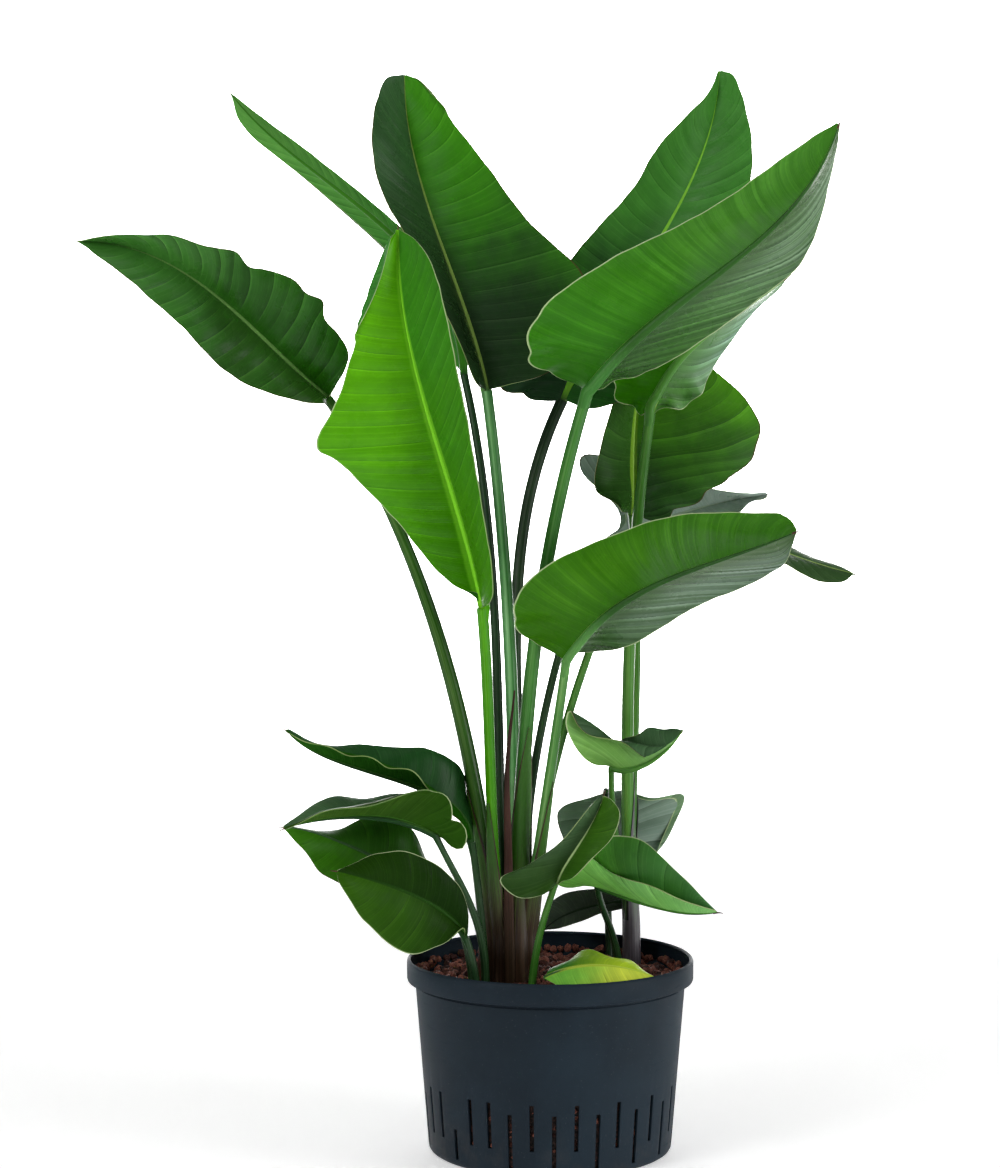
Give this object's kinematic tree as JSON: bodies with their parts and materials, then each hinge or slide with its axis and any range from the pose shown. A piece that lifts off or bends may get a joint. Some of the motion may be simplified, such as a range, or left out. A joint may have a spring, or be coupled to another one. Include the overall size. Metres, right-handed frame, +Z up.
{
  "type": "potted bird of paradise",
  "caption": "Tall house plant with long upright paddle-shaped leaves on bare stems that rise from one clump, in a round slotted plastic growing pot filled with clay granules.",
  "frame": {"origin": "centre of the pot's underside, on the surface that it stands on", "axes": "+Z up along the pot's axis, -Y towards the front, +X towards the right as seen from the front"},
  "size_m": [0.7411, 0.3188, 1.0614],
  "materials": {
    "pot": "satin dark blue-grey plastic",
    "granules": "matt fired clay, reddish brown, uneven",
    "blade": "glossy leathery leaf, green, with fine pleats across it",
    "stem": "smooth waxy green",
    "sheath": "dry brown sheaths",
    "yellow_blade": "satin yellow leaf, still green in places"
  },
  "bodies": {
    "root": {"pot": "pot", "clay_granules": "granules", "clump_foot": "sheath", "shoot_foot": "sheath", "blade_rolled": "blade", "stem_rolled": "stem", "blade_tall_left": "blade", "stem_tall_left": "stem", "blade_front_left": "blade", "stem_front_left": "stem", "blade_far_left": "blade", "stem_far_left": "stem", "blade_tall_right": "blade", "stem_tall_right": "stem", "blade_front_right": "blade", "stem_front_right": "stem", "blade_side_upper": "blade", "stem_side_upper": "stem", "blade_side_middle": "blade", "stem_side_middle": "stem", "blade_mid_right": "blade", "stem_mid_right": "stem", "blade_back_right": "blade", "stem_back_right": "stem", "blade_drooping": "blade", "stem_drooping": "stem", "blade_low_left_upper": "blade", "stem_low_left_upper": "stem", "blade_low_left_middle": "blade", "stem_low_left_middle": "stem", "blade_low_left_back": "blade", "stem_low_left_back": "stem", "blade_low_left_round": "blade", "stem_low_left_round": "stem", "blade_low_right_front": "blade", "stem_low_right_front": "stem", "blade_low_right_curled": "blade", "stem_low_right_curled": "stem", "blade_side_small": "blade", "stem_side_small": "stem", "blade_low_back": "blade", "stem_low_back": "stem", "blade_low_dark": "blade", "stem_low_dark": "stem", "blade_fallen": "yellow_blade"}
  },
  "joints": []
}
